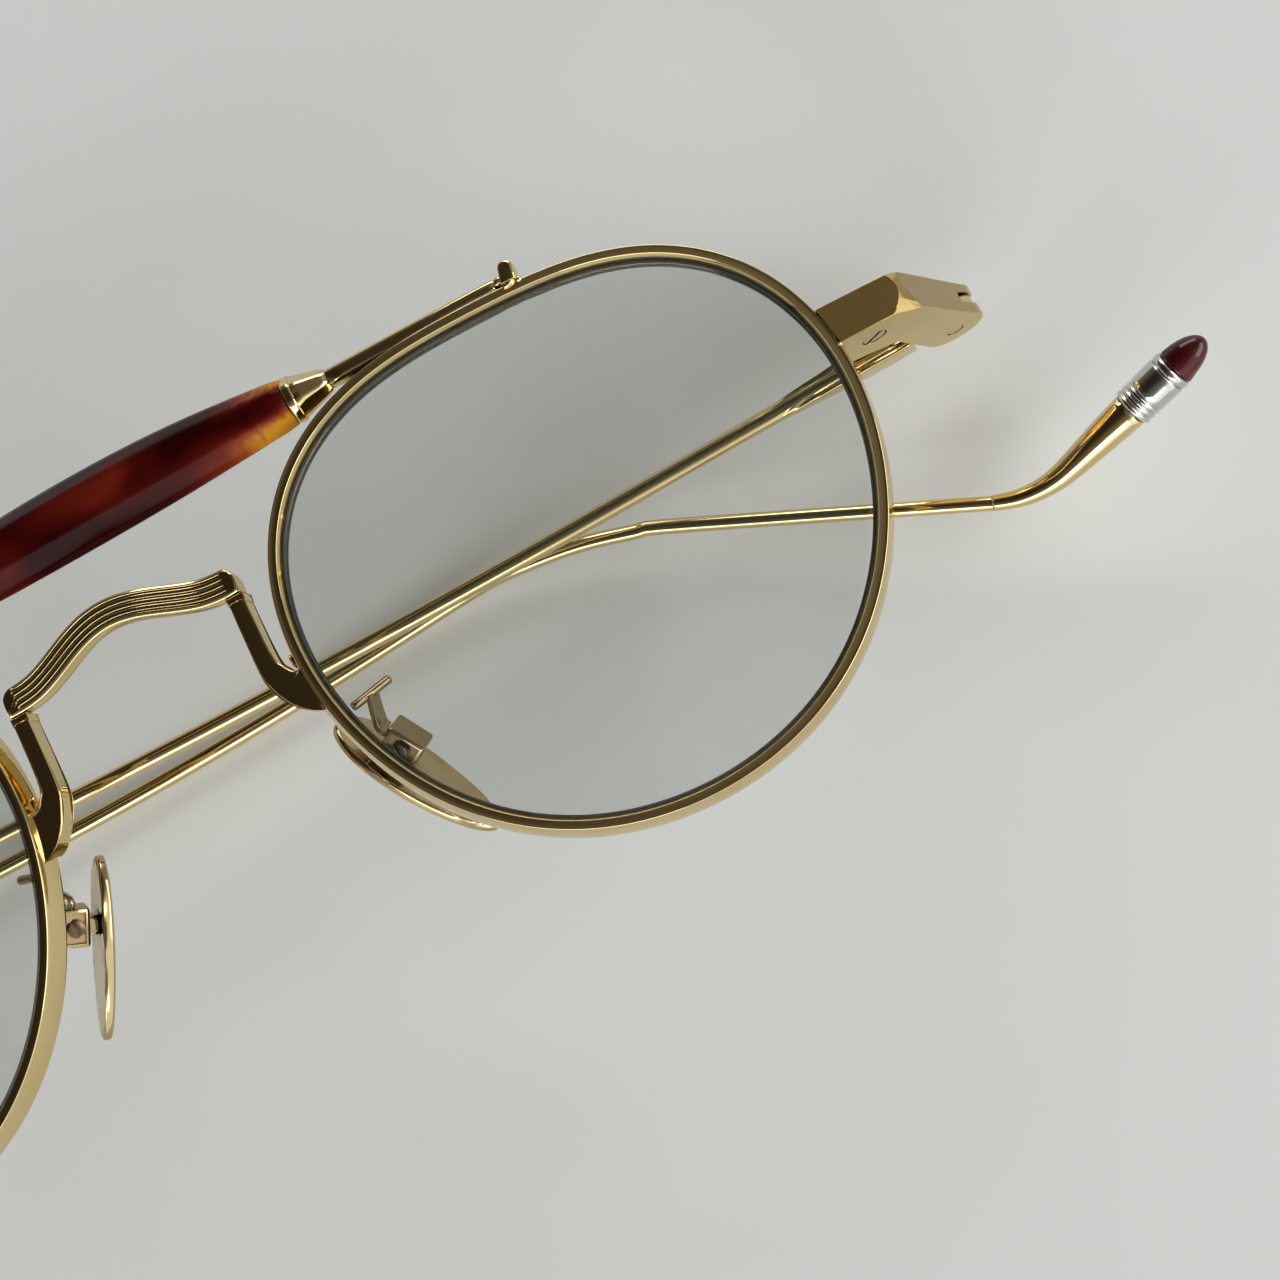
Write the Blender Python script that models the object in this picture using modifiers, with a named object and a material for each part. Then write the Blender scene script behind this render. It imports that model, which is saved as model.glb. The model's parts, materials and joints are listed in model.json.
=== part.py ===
"""Round metal sunglasses, folded, lying on their temples with the lenses up.

X runs to the wearer's left, Y to the brow and Z out of the front of the lenses.
Names end in _left and _right as the wearer sees them. Sizes are in millimetres
and are turned into metres where an object is made.
"""
import math

import bmesh
import bpy
from mathutils import Matrix, Vector

MM = 0.001

# Rims
RIM_WIDTH = 47.2
RIM_HEIGHT = 42.4
BROW_FLATNESS = 0.8
CORNER_FULLNESS = 0.3
RIM_CENTRE_X = 36.0
FACE_WRAP = 6.0
RIM_DEPTH = 2.2
RIM_CREST = 0.67
RIM_RIDGE = 0.1
RIM_EDGE = 0.12
RIM_INNER_EDGE = 0.05
RIM_FLARE = 0.56
RIM_LIP = 0.95
GROOVE_DEPTH = 0.5
GROOVE_HALF = 0.4
RIM_STEPS = 72

# Lenses
LENS_THICKNESS = 1.6
LENS_CROWN = 0.6
LENS_CLEARANCE = 0.1

# Clearances
SEAT_GAP = 0.1
RUNNING_GAP = 0.08

# Brow bar
BAR_LENGTH = 39.9
BAR_HEIGHT = 6.2
BAR_END_HEIGHT = 3.8
BAR_DEPTH = 4.2
BAR_END_DEPTH = 3.0
BAR_Y = 20.9
BAR_Z = -0.3
BAR_ARCH = 0.55
FERRULE_LENGTH = 3.5
FERRULE_COLLAR = 0.7
BROW_WIRE_SIZE = 1.4
BROW_WIRE_END_X = 38.45
BROW_WIRE_DROP = 0.0
BROW_POST_HEIGHT = 2.8
BROW_POST_WIDTH = 1.3
BROW_POST_DEPTH = 1.7
BROW_POST_LEAN = 13.0
BROW_POST_EDGE = 0.22

# Bridge
SADDLE_HALF = 10.5
SADDLE_CAP = 1.1
SADDLE_HEIGHT = 2.35
SADDLE_DEPTH = 1.7
SADDLE_Y = 9.82
SADDLE_RISE = 2.3
SADDLE_Z = 1.1
SADDLE_FORWARD = 0.8
GROOVE_COUNT = 4
SADDLE_GROOVE_DEPTH = 0.16
SADDLE_GROOVE_HALF = 0.1
ARM_WIDTH = 1.3
ARM_DEPTH = 1.8
ARM_FRONT_Z = 1.8
ARM_X = 9.88
FOOT_Y = -2.8
COLLAR_HEIGHT = 0.6

# End pieces and hinges
END_BOTTOM_Y = 4.0
END_HEIGHT = 3.2
END_REAR_HEIGHT = 2.8
END_FRONT_X = 65.75
END_FRONT_Z = -3.05
END_FACET_RADIUS = 1.9
END_FACET_INSET = 2.15
END_FACET_Y = 6.0
HINGE_X = 68.8
HINGE_Z = -15.5
EAR_RADIUS = 2.55
KNUCKLE_RADIUS = 2.3
SLOT_ROOM = 0.9
KNUCKLE_THICKNESS = 0.84
PIN_RADIUS = 0.65
PIN_HEAD_RADIUS = 1.05
PIN_HEAD_SHARE = 0.6
CLOSING_X = 62.3
CLOSING_Z = -5.7
CLOSING_HEAD_RADIUS = 0.95
CLOSING_HEAD_HEIGHT = 0.5
CLOSING_SHANK_RADIUS = 0.6
CLOSING_LENGTH = 2.4
SLOT_WIDTH = 0.34
SLOT_DEPTH = 0.28

# Temples
TEMPLE_LENGTH = 150.8
SHANK_START = 3.5
SHANK_LENGTH = 13.0
SHANK_HEIGHT = 2.6
SHANK_THICKNESS = 2.4
SHANK_FLUTE = 0.22
WIRE_RADIUS = 0.8
WIRE_NECK_RADIUS = 0.62
SLEEVE_LENGTH = 14.0
SLEEVE_RADIUS = 1.5
EAR_START = 92.0
EAR_BEND_LENGTH = 20.0
EAR_DROP = 25.5
TIP_START = 137.0
TIP_BEND_LENGTH = 7.0
TIP_LIFT = 12.0
BOW_START = 8.0
BOW_END = -5.5
TIP_INWARD = 24.0
TIP_FERRULE_LENGTH = 4.5
TIP_FERRULE_RADIUS = 1.7
TIP_RADIUS = 1.55
TIP_LENGTH = 3.1
FOLD_LEFT = 93.6
FOLD_RIGHT = 88.3
TILT_LEFT = 0.75
TILT_RIGHT = 0.15
SAG_LEFT = 0.2
SAG_RIGHT = 1.6

# Nose pads
PAD_CENTRE = (15.1, -9.25, -5.15)
PAD_UP = (-0.48, 0.84, 0.25)
PAD_FRONT = (0.771, 0.268, 0.579)
PAD_LENGTH = 15.1
PAD_WIDTH = 5.6
PAD_THICKNESS = 0.8
PAD_CROWN = 0.35
PAD_FULLER_TOP = 0.15
PAD_MOVE_LEFT = (0.0, 0.0)
PAD_MOVE_RIGHT = (0.95, -0.25)
PAD_PIVOT_UP = 2.1
PAD_PIVOT_OUT = 2.2
BOX_LENGTH = 3.2
BOX_WIDTH = 2.2
BOX_WALL = 0.45
BOX_LOW = 1.1
BOX_POCKET = 0.2
BOX_HIGH = 1.35
BOSS_RADIUS = 0.95
BOSS_HEIGHT = 0.8
POST_LENGTH = 1.5
POST_TOP = 0.75
PAD_SCREW_RADIUS = 0.4
PAD_SCREW_HEAD_RADIUS = 0.7
PAD_SCREW_HEAD_HEIGHT = 0.35
PAD_BAR_START = (14.05, -3.1, -0.55)
PAD_BAR_END = (17.1, -2.0, -2.5)
PAD_BAR_RADIUS = 0.36
PAD_STRIP_WIDTH = 1.4
PAD_STRIP_THICKNESS = 0.42

SIDES = {"left": 1, "right": -1}
HINGE_Y = END_BOTTOM_Y + END_REAR_HEIGHT / 2 + 0.1
UPPER_EAR = END_BOTTOM_Y + END_REAR_HEIGHT - HINGE_Y - KNUCKLE_THICKNESS / 2 - RUNNING_GAP
PIN_HEAD_HEIGHT = PIN_HEAD_SHARE * UPPER_EAR


# Scene set-up

def clear_scene():
    for obj in list(bpy.data.objects):
        bpy.data.objects.remove(obj)


def make_collection(name):
    collection = bpy.data.collections.new(name)
    bpy.context.scene.collection.children.link(collection)
    return collection


def make_material(name, colour, roughness, metallic, alpha=1.0):
    material = bpy.data.materials.new(name)
    material.use_nodes = True
    shader = material.node_tree.nodes["Principled BSDF"]
    shader.inputs["Base Color"].default_value = (*colour, 1.0)
    shader.inputs["Roughness"].default_value = roughness
    shader.inputs["Metallic"].default_value = metallic
    shader.inputs["Alpha"].default_value = alpha
    material.diffuse_color = (*colour, alpha)
    return material


def make_empty(name, parent=None, location=(0, 0, 0), rotation=None):
    empty = bpy.data.objects.new(name, None)
    parts.objects.link(empty)
    empty.empty_display_size = 5 * MM
    empty.parent = parent
    frame = rotation.to_4x4() if rotation else Matrix()
    empty.matrix_local = Matrix.Translation(Vector(location) * MM) @ frame
    return empty


# Mesh helpers, all in millimetres until an object is made

def to_object(name, bm, collection, parent=None, material=None):
    bmesh.ops.remove_doubles(bm, verts=bm.verts, dist=0.002)
    bmesh.ops.recalc_face_normals(bm, faces=bm.faces)
    bmesh.ops.scale(bm, vec=(MM, MM, MM), verts=bm.verts)
    mesh = bpy.data.meshes.new(name)
    bm.to_mesh(mesh)
    bm.free()
    obj = bpy.data.objects.new(name, mesh)
    collection.objects.link(obj)
    obj.parent = parent
    if material:
        mesh.materials.append(material)
    mesh.shade_smooth()
    mesh.set_sharp_from_angle(angle=math.radians(32))
    return obj


def add_part(name, bm, material, parent, side=1):
    mirror(bm, side)
    return to_object(name, bm, parts, parent, material)


def add_cutter(name, bm, parent, side=1):
    mirror(bm, side)
    obj = to_object(name, bm, cutters, parent)
    obj.hide_render = True
    obj.display_type = "WIRE"
    return obj


def mirror(bm, side):
    if side < 0:
        bmesh.ops.scale(bm, vec=(-1, 1, 1), verts=bm.verts)


def cut(obj, cutter, operation="DIFFERENCE"):
    modifier = obj.modifiers.new(f"{operation.lower()}_{cutter.name}", "BOOLEAN")
    modifier.operation = operation
    modifier.solver = "EXACT"
    modifier.object = cutter


def bevel(obj, width, segments=1, angle=32):
    modifier = obj.modifiers.new("edges", "BEVEL")
    modifier.width = width * MM
    modifier.segments = segments
    modifier.limit_method = "ANGLE"
    modifier.angle_limit = math.radians(angle)


def loft(rings, cap_start=True, cap_end=True):
    """Skin a row of closed rings that all have the same number of points."""
    bm = bmesh.new()
    rows = [[bm.verts.new(point) for point in ring] for ring in rings]
    count = len(rows[0])
    for row, following in zip(rows, rows[1:]):
        for i in range(count):
            j = (i + 1) % count
            bm.faces.new((row[i], row[j], following[j], following[i]))
    if cap_start:
        bm.faces.new(reversed(rows[0]))
    if cap_end:
        bm.faces.new(rows[-1])
    return bm


def close_with_fan(bm, ring_points, centre):
    """Close a ring that is already in the mesh with triangles to one point."""
    tip = bm.verts.new(centre)
    ring = [min(bm.verts, key=lambda v: (v.co - Vector(p)).length) for p in ring_points]
    for a, b in zip(ring, ring[1:] + ring[:1]):
        bm.faces.new((a, b, tip))


def shown_bmesh(data):
    """The shape that an object with this data and its modifiers shows, welded."""
    obj = data if isinstance(data, bpy.types.Object) else bpy.data.objects.new("temporary", data)
    bpy.context.scene.collection.objects.link(obj)
    depsgraph = bpy.context.evaluated_depsgraph_get()
    mesh = bpy.data.meshes.new_from_object(obj.evaluated_get(depsgraph))
    bm = bmesh.new()
    bm.from_mesh(mesh)
    bmesh.ops.remove_doubles(bm, verts=bm.verts, dist=0.0001)
    bpy.data.objects.remove(obj)
    bpy.data.meshes.remove(mesh)
    return bm


def flat_curve(name, outlines):
    curve = bpy.data.curves.new(name, "CURVE")
    curve.dimensions = "2D"
    for outline in outlines:
        spline = curve.splines.new("POLY")
        spline.points.add(len(outline) - 1)
        for point, (x, y) in zip(spline.points, outline):
            point.co = (x, y, 0, 1)
        spline.use_cyclic_u = True
    return curve


def plate(outlines, low, high):
    """A flat outline in XY, filled from the height low to the height high."""
    curve = flat_curve("plate", outlines)
    curve.fill_mode = "BOTH"
    curve.extrude = (high - low) / 2
    bm = shown_bmesh(curve)
    bmesh.ops.translate(bm, vec=(0, 0, (low + high) / 2), verts=bm.verts)
    return bm


def lay_on_side(bm):
    """Turn a plate so that its outline's second axis is Z and its height is Y."""
    swap = Matrix(((1, 0, 0), (0, 0, 1), (0, 1, 0)))
    bmesh.ops.transform(bm, matrix=swap.to_4x4(), verts=bm.verts)


def cylinder(radius, start, end, segments=20, end_radius=None):
    """A cylinder or cone between two points."""
    start, end = Vector(start), Vector(end)
    axis = end - start
    bm = bmesh.new()
    turn = axis.to_track_quat("Z", "Y").to_matrix().to_4x4()
    bmesh.ops.create_cone(
        bm, cap_ends=True, segments=segments, radius1=radius,
        radius2=radius if end_radius is None else end_radius, depth=axis.length,
        matrix=Matrix.Translation((start + end) / 2) @ turn)
    return bm


def box(low, high):
    size = Vector(high) - Vector(low)
    middle = (Vector(high) + Vector(low)) / 2
    bm = bmesh.new()
    bmesh.ops.create_cube(bm, size=1, matrix=Matrix.Translation(middle) @ Matrix.Diagonal((*size, 1)))
    return bm


def turned(profile, segments, frame):
    """Revolve (along, radius) points about the frame's Z axis; both ends lie on the axis."""
    mesh = bpy.data.meshes.new("profile")
    points = [(radius, 0, along) for along, radius in reversed(profile)]
    mesh.from_pydata(points, [(i, i + 1) for i in range(len(points) - 1)], [])
    obj = bpy.data.objects.new("profile", mesh)
    screw = obj.modifiers.new("turn", "SCREW")
    screw.axis = "Z"
    screw.steps = screw.render_steps = segments
    screw.use_merge_vertices = True
    screw.merge_threshold = 0.0001
    bm = shown_bmesh(obj)
    bmesh.ops.transform(bm, matrix=frame, verts=bm.verts)
    return bm


# Rim outline

def rim_radius(angle):
    mean = (RIM_WIDTH + RIM_HEIGHT) / 4 + CORNER_FULLNESS
    widening = (RIM_WIDTH - RIM_HEIGHT) / 4
    return (mean + widening * math.cos(2 * angle)
            + BROW_FLATNESS * math.sin(3 * angle) - CORNER_FULLNESS * math.cos(4 * angle))


def rim_outline(offset, steps=RIM_STEPS):
    """The rim's front crest line, moved outwards by the offset."""
    points = []
    for i in range(steps):
        angle = math.tau * i / steps
        ahead = rim_radius(angle + 0.001)
        behind = rim_radius(angle - 0.001)
        radius = rim_radius(angle)
        slope = (ahead - behind) / 0.002
        outward = Vector((math.cos(angle), math.sin(angle))) * radius
        outward -= Vector((-math.sin(angle), math.cos(angle))) * slope
        outward.normalize()
        point = Vector((math.cos(angle), math.sin(angle))) * radius + outward * offset
        points.append((point.x, point.y))
    return points


def groove_z():
    return -(RIM_DEPTH / 2 + 0.05)


def rim_profile():
    """Section of the eyewire: (outward offset, Z), with a V groove for the lens."""
    middle = groove_z()
    return [
        (RIM_RIDGE - RIM_EDGE, 0.0),
        (RIM_RIDGE + 0.05, -RIM_EDGE),
        (0.8 * RIM_FLARE, middle),
        (RIM_FLARE, -RIM_DEPTH + 0.2),
        (RIM_FLARE - 0.3, -RIM_DEPTH),
        (-RIM_LIP + 0.3, -RIM_DEPTH),
        (-RIM_LIP, -RIM_DEPTH + 0.2),
        (-RIM_LIP, middle - GROOVE_HALF),
        (-RIM_LIP + GROOVE_DEPTH, middle),
        (-RIM_LIP, middle + GROOVE_HALF),
        (RIM_RIDGE - RIM_CREST - RIM_INNER_EDGE, -2 * RIM_INNER_EDGE),
        (RIM_RIDGE - RIM_CREST + RIM_INNER_EDGE, 0.0),
    ]


def rim_mesh():
    """Sweep the eyewire's section round the outline."""
    section = flat_curve("eyewire_section", [[(-offset, z) for offset, z in rim_profile()]])
    section_object = bpy.data.objects.new("eyewire_section", section)
    bpy.context.scene.collection.objects.link(section_object)
    path = flat_curve("eyewire_path", [rim_outline(0)])
    path.fill_mode = "NONE"
    path.bevel_mode = "OBJECT"
    path.bevel_object = section_object
    bm = shown_bmesh(path)
    bpy.data.objects.remove(section_object)
    bpy.data.curves.remove(section)
    return bm


def lens_mesh():
    """A crowned disc whose V edge runs in the eyewire's groove."""
    middle = groove_z()
    edge = -RIM_LIP - LENS_CLEARANCE
    peak = edge + GROOVE_DEPTH
    flank = GROOVE_HALF * GROOVE_DEPTH / (GROOVE_DEPTH + 0.05)
    half = LENS_THICKNESS / 2
    rim = [(edge, middle - half), (edge, middle - flank), (peak, middle),
           (edge, middle + flank), (edge, middle + half)]

    def inner_ring(share, height):
        crown = LENS_CROWN * (1 - share * share)
        return [Vector((x * share, y * share, height + crown)) for x, y in rim_outline(edge)]

    back, front = middle - half, middle + half
    rings = [inner_ring(0.35, back), inner_ring(0.7, back)]
    rings += [[Vector((x, y, z)) for x, y in rim_outline(offset)] for offset, z in rim]
    rings += [inner_ring(0.7, front), inner_ring(0.35, front)]
    bm = loft(rings, cap_start=False, cap_end=False)
    close_with_fan(bm, rings[0], Vector((0, 0, back + LENS_CROWN)))
    close_with_fan(bm, rings[-1], Vector((0, 0, front + LENS_CROWN)))
    return bm


def add_rim_and_lens(label, side):
    frame = make_empty(f"rim_frame_{label}", front, (side * RIM_CENTRE_X, 0, 0),
                       Matrix.Rotation(math.radians(side * FACE_WRAP), 3, "Y"))
    add_part(f"rim_{label}", rim_mesh(), gold, frame, side)
    add_part(f"lens_{label}", lens_mesh(), lens_grey, frame, side)
    wall = [(RIM_RIDGE, 4.0), (RIM_RIDGE, 0.0), (0.8 * RIM_FLARE, groove_z()), (RIM_FLARE, -RIM_DEPTH + 0.2), (RIM_FLARE, -14.0)]
    rings = [[Vector((x, y, z)) for x, y in rim_outline(offset + SEAT_GAP)] for offset, z in wall]
    return add_cutter(f"cutter_rim_{label}", loft(rings), frame, side)


# Bars with a section that changes along a path

def frames_along(path):
    """Place, tangent, side and up for each point, with up kept close to Y."""
    frames = []
    for i, point in enumerate(path):
        ahead = path[min(i + 1, len(path) - 1)]
        behind = path[max(i - 1, 0)]
        tangent = (ahead - behind).normalized()
        across = tangent.cross(Vector((0, 1, 0))).normalized()
        frames.append((point, tangent, across, across.cross(tangent)))
    return frames


def skin_path(path, sections):
    """Skin sections of (across, up) points, one for each point of the path."""
    rings = []
    for (place, _, across, up), section in zip(frames_along(path), sections):
        rings.append([place + across * a + up * b for a, b in section])
    return loft(rings)


def chamfered(width, height, chamfer):
    """Section points of a rectangle with cut corners."""
    w, h, c = width / 2, height / 2, chamfer
    return [(w, h - c), (w - c, h), (-w + c, h), (-w, h - c),
            (-w, -h + c), (-w + c, -h), (w - c, -h), (w, -h + c)]


# Brow bar

def add_brow_bar():
    """A faceted acetate spindle between two metal ferrules."""
    half = BAR_LENGTH / 2
    shares = (-1, -0.8, -0.55, -0.28, 0, 0.28, 0.55, 0.8, 1)
    path = [Vector((half * share, BAR_Y + BAR_ARCH * (1 - share * share), BAR_Z)) for share in shares]
    sections = []
    for share in shares:
        fullness = 1 - abs(share) ** 2.2
        height = BAR_END_HEIGHT + (BAR_HEIGHT - BAR_END_HEIGHT) * fullness
        depth = BAR_END_DEPTH + (BAR_DEPTH - BAR_END_DEPTH) * fullness
        sections.append(chamfered(depth, height, 0.3 * height))
    add_part("brow_bar", skin_path(path, sections), tortoise, front)


def add_brow_mount(label, side, rim_cutter):
    """The ferrule on the bar's end and the square wire that runs on to the rim."""
    start = BAR_LENGTH / 2 + SEAT_GAP
    lip = start + FERRULE_COLLAR
    end = start + FERRULE_LENGTH
    stations = [(start, 1.0), (lip, 1.0), (lip + 0.02, 0.93), (end, 0.5)]
    path = [Vector((x, BAR_Y, BAR_Z)) for x, _ in stations]
    sections = [chamfered(BAR_END_DEPTH * k, BAR_END_HEIGHT * k, 0.3 * BAR_END_HEIGHT * k)
                for _, k in stations]
    add_part(f"brow_ferrule_{label}", skin_path(path, sections), gold, front, side)

    size = BROW_WIRE_SIZE
    wire_x = [end + SEAT_GAP, end + 5, end + 10, BROW_WIRE_END_X]
    run = BROW_WIRE_END_X - end
    path = [Vector((x, BAR_Y - BROW_WIRE_DROP * (x - end) / run, BAR_Z - 0.6 * (x - end) / run))
            for x in wire_x]
    widths = (size, size, 0.95 * size, 0.85 * size)
    sections = [chamfered(w, w, 0.2 * w) for w in widths]
    wire = add_part(f"brow_wire_{label}", skin_path(path, sections), gold, front, side)
    cut(wire, rim_cutter)

    post_x = BROW_WIRE_END_X + SEAT_GAP + BROW_POST_WIDTH / 2
    foot = Vector((post_x, BAR_Y - 1.3, BAR_Z - 0.4))
    lean = math.radians(BROW_POST_LEAN)
    deep = BROW_POST_DEPTH / 2
    levels = [(2, -deep), (0.6, -deep + 0.4 * BROW_POST_EDGE), (0, -deep + BROW_POST_EDGE)]
    levels += [(inset, -z) for inset, z in reversed(levels)]
    bm = loft([[Vector((x, y, z)) for x, y in
                obround(BROW_POST_WIDTH - inset * BROW_POST_EDGE, BROW_POST_HEIGHT - inset * BROW_POST_EDGE)]
               for inset, z in levels])
    place = Matrix.Translation(foot) @ Matrix.Rotation(-lean, 4, "Z")
    place = place @ Matrix.Translation((0.25, BROW_POST_HEIGHT / 2, 0))
    bmesh.ops.transform(bm, matrix=place, verts=bm.verts)
    post = add_part(f"brow_post_{label}", bm, gold, front, side)
    cut(post, rim_cutter)


def obround(width, height):
    """A plate outline with half-round ends."""
    radius, straight = width / 2, (height - width) / 2
    points = []
    for centre, start in ((straight, 0), (-straight, 180)):
        for i in range(7):
            a = math.radians(start + 30 * i)
            points.append((radius * math.cos(a), centre + radius * math.sin(a)))
    return points


# Bridge

def saddle_line(x):
    share = min(abs(x) / (SADDLE_HALF - SADDLE_CAP), 1)
    rise = 0.5 + 0.5 * math.cos(math.pi * share)
    return Vector((x, SADDLE_Y + SADDLE_RISE * rise, SADDLE_Z + SADDLE_FORWARD * rise))


def grooved_section(depth, height, groove, top):
    """A rounded rectangle with grooves along its front, lowered at the top by a share."""
    half, h = depth / 2, height / 2
    pitch = height / (GROOVE_COUNT + 1)
    points = []
    for i in range(GROOVE_COUNT):
        middle = -h + pitch * (i + 1)
        points += [(half, middle - SADDLE_GROOVE_HALF), (half - groove, middle),
                   (half, middle + SADDLE_GROOVE_HALF)]
    points += [(half, h - 0.26), (half - 0.1, h - 0.08), (half - 0.36, h), (-half + 0.4, h),
               (-half, h - 0.4), (-half, -h + 0.4), (-half + 0.4, -h), (half - 0.36, -h),
               (half - 0.1, -h + 0.08), (half, -h + 0.26)]
    return [(a, -h + (b + h) * top) for a, b in points]


def add_bridge_saddle():
    """The fluted wave between the rims, with a plain cap at each end."""
    inner = SADDLE_HALF - SADDLE_CAP
    steps = 14
    xs = [-SADDLE_HALF, -SADDLE_HALF + 0.2, -SADDLE_HALF + 0.55, -inner - 0.1]
    xs += [-inner + 2 * inner * i / steps for i in range(steps + 1)]
    xs += [inner + 0.1, SADDLE_HALF - 0.55, SADDLE_HALF - 0.2, SADDLE_HALF]
    sections = []
    for x in xs:
        reach = SADDLE_HALF - abs(x)
        top = 0.62 if reach < 0.1 else 0.82 if reach < 0.4 else 0.96 if reach < 0.8 else 1.0
        groove = SADDLE_GROOVE_DEPTH if abs(x) <= inner else 0.0
        sections.append(grooved_section(SADDLE_DEPTH, SADDLE_HEIGHT, groove, top))
    path = [saddle_line(x) for x in xs]
    add_part("bridge_saddle", skin_path(path, sections), gold, front)


def add_bridge_arm(label, side, rim_cutter):
    """The flat arm that drops from the saddle and spreads into a foot on the rim."""
    top = SADDLE_Y - SADDLE_HEIGHT / 2 - SEAT_GAP
    shoulder = top - COLLAR_HEIGHT
    inner, outer = ARM_X - ARM_WIDTH / 2, ARM_X + ARM_WIDTH / 2
    step = 0.07
    outline = [
        (inner - step, top), (inner - step, shoulder), (inner, shoulder - step),
        (inner - 0.05, 2.8), (inner + 0.2, 1.0), (inner + 0.65, -0.2), (inner + 1.3, -1.3),
        (inner + 2.2, -2.2), (inner + 3.2, FOOT_Y), (inner + 6, FOOT_Y - 0.2), (inner + 6, 0.8),
        (outer + 1.3, 0.9), (outer + 0.8, 1.2), (outer + 0.35, 2.0), (outer, 3.2),
        (outer, shoulder - step), (outer + step, shoulder), (outer + step, top),
    ]
    arm = plate([outline], ARM_FRONT_Z - ARM_DEPTH, ARM_FRONT_Z)
    obj = add_part(f"bridge_arm_{label}", arm, gold, front, side)
    cut(obj, rim_cutter)
    bevel(obj, 0.25, 2)


# End pieces

def end_outline():
    """Plan of the end piece in X and Z, rounded about the hinge pin."""
    points = [(56.5, END_FRONT_Z + 1.1), (END_FRONT_X, END_FRONT_Z)]
    first, last, steps = 38, -157, 12
    for i in range(steps + 1):
        a = math.radians(first + (last - first) * i / steps)
        points.append((HINGE_X + EAR_RADIUS * math.cos(a), HINGE_Z + EAR_RADIUS * math.sin(a)))
    points += [(HINGE_X - 4.9, HINGE_Z + 5.5), (HINGE_X - 6.8, HINGE_Z + 6.2), (56.5, HINGE_Z + 7.6)]
    return points


def end_facet():
    """What is taken off the front corner: the outside of a cone that runs out at both ends."""
    low, high = END_FRONT_Z - 2.4, END_FRONT_Z + 1
    reach = 3 * END_FACET_RADIUS
    rings = []
    steps = 12
    for i in range(steps + 1):
        a = math.radians(-86 + 168 * i / steps)
        near = END_FACET_RADIUS + 0.5 * math.sin(a) ** 6
        section = [(near + END_FRONT_Z - high, high), (reach, high),
                   (reach, low), (near + END_FRONT_Z - low, low)]
        rings.append([Vector((END_FRONT_X - END_FACET_INSET + radius * math.cos(a),
                              END_FACET_Y + radius * math.sin(a), z)) for radius, z in section])
    return loft(rings)


def add_end_piece(label, side, rim_cutter):
    """The block that closes the rim and carries the hinge's two ears."""
    bm = plate([end_outline()], END_BOTTOM_Y, END_BOTTOM_Y + END_HEIGHT)
    lay_on_side(bm)
    drop = END_HEIGHT - END_REAR_HEIGHT
    for vert in bm.verts:
        if vert.co.y > END_BOTTOM_Y + END_HEIGHT / 2 and vert.co.z < HINGE_Z + 8:
            share = min((HINGE_Z + 8 - vert.co.z) / 6, 1)
            vert.co.y -= drop * share
    obj = add_part(f"end_piece_{label}", bm, gold, front, side)
    bevel(obj, 0.42, 2)
    cut(obj, add_cutter(f"cutter_facet_{label}", end_facet(), front, side))
    cut(obj, rim_cutter)

    half = KNUCKLE_THICKNESS / 2 + RUNNING_GAP
    slot = box((HINGE_X - 7, HINGE_Y - half, HINGE_Z - 6),
               (HINGE_X + 6, HINGE_Y + half, HINGE_Z + KNUCKLE_RADIUS + SLOT_ROOM))
    cut(obj, add_cutter(f"cutter_slot_{label}", slot, front, side))

    top = END_BOTTOM_Y + END_REAR_HEIGHT
    pin_hole = turned([(-1, 0), (-1, PIN_RADIUS + RUNNING_GAP),
                       (top - PIN_HEAD_HEIGHT - END_BOTTOM_Y, PIN_RADIUS + RUNNING_GAP),
                       (top - PIN_HEAD_HEIGHT - END_BOTTOM_Y, PIN_HEAD_RADIUS + RUNNING_GAP),
                       (END_REAR_HEIGHT + 1, PIN_HEAD_RADIUS + RUNNING_GAP), (END_REAR_HEIGHT + 1, 0)],
                      20, along_y((HINGE_X, END_BOTTOM_Y, HINGE_Z)))
    cut(obj, add_cutter(f"cutter_pin_{label}", pin_hole, front, side))

    gap = SEAT_GAP
    screw_hole = turned([(-1, 0), (-1, CLOSING_HEAD_RADIUS + gap),
                         (CLOSING_HEAD_HEIGHT + gap, CLOSING_HEAD_RADIUS + gap),
                         (CLOSING_HEAD_HEIGHT + gap, CLOSING_SHANK_RADIUS + gap),
                         (CLOSING_LENGTH + gap, CLOSING_SHANK_RADIUS + gap), (CLOSING_LENGTH + gap, 0)],
                        20, along_y((CLOSING_X, END_BOTTOM_Y, CLOSING_Z)))
    cut(obj, add_cutter(f"cutter_closing_{label}", screw_hole, front, side))


def along_y(place):
    """A frame at the place whose Z axis points along world Y."""
    return Matrix.Translation(place) @ Matrix.Rotation(math.radians(-90), 4, "X")


def add_screw(name, side, parent, frame, head_radius, head_height, shank_radius, length, slot_turn):
    """A slotted screw whose head is at the frame's origin and shank runs along its Z."""
    bm = turned([(0, 0), (0, head_radius), (head_height, head_radius), (head_height, shank_radius),
                 (length, shank_radius), (length, 0)], 20, frame)
    screw = add_part(name, bm, screw_metal, parent, side)
    reach = head_radius + 0.2
    slot = box((-SLOT_WIDTH / 2, -reach, -0.2), (SLOT_WIDTH / 2, reach, SLOT_DEPTH))
    turn = Matrix.Rotation(math.radians(slot_turn), 4, "Z")
    bmesh.ops.transform(slot, matrix=frame @ turn, verts=slot.verts)
    cut(screw, add_cutter(f"cutter_{name}", slot, parent, side))


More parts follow.
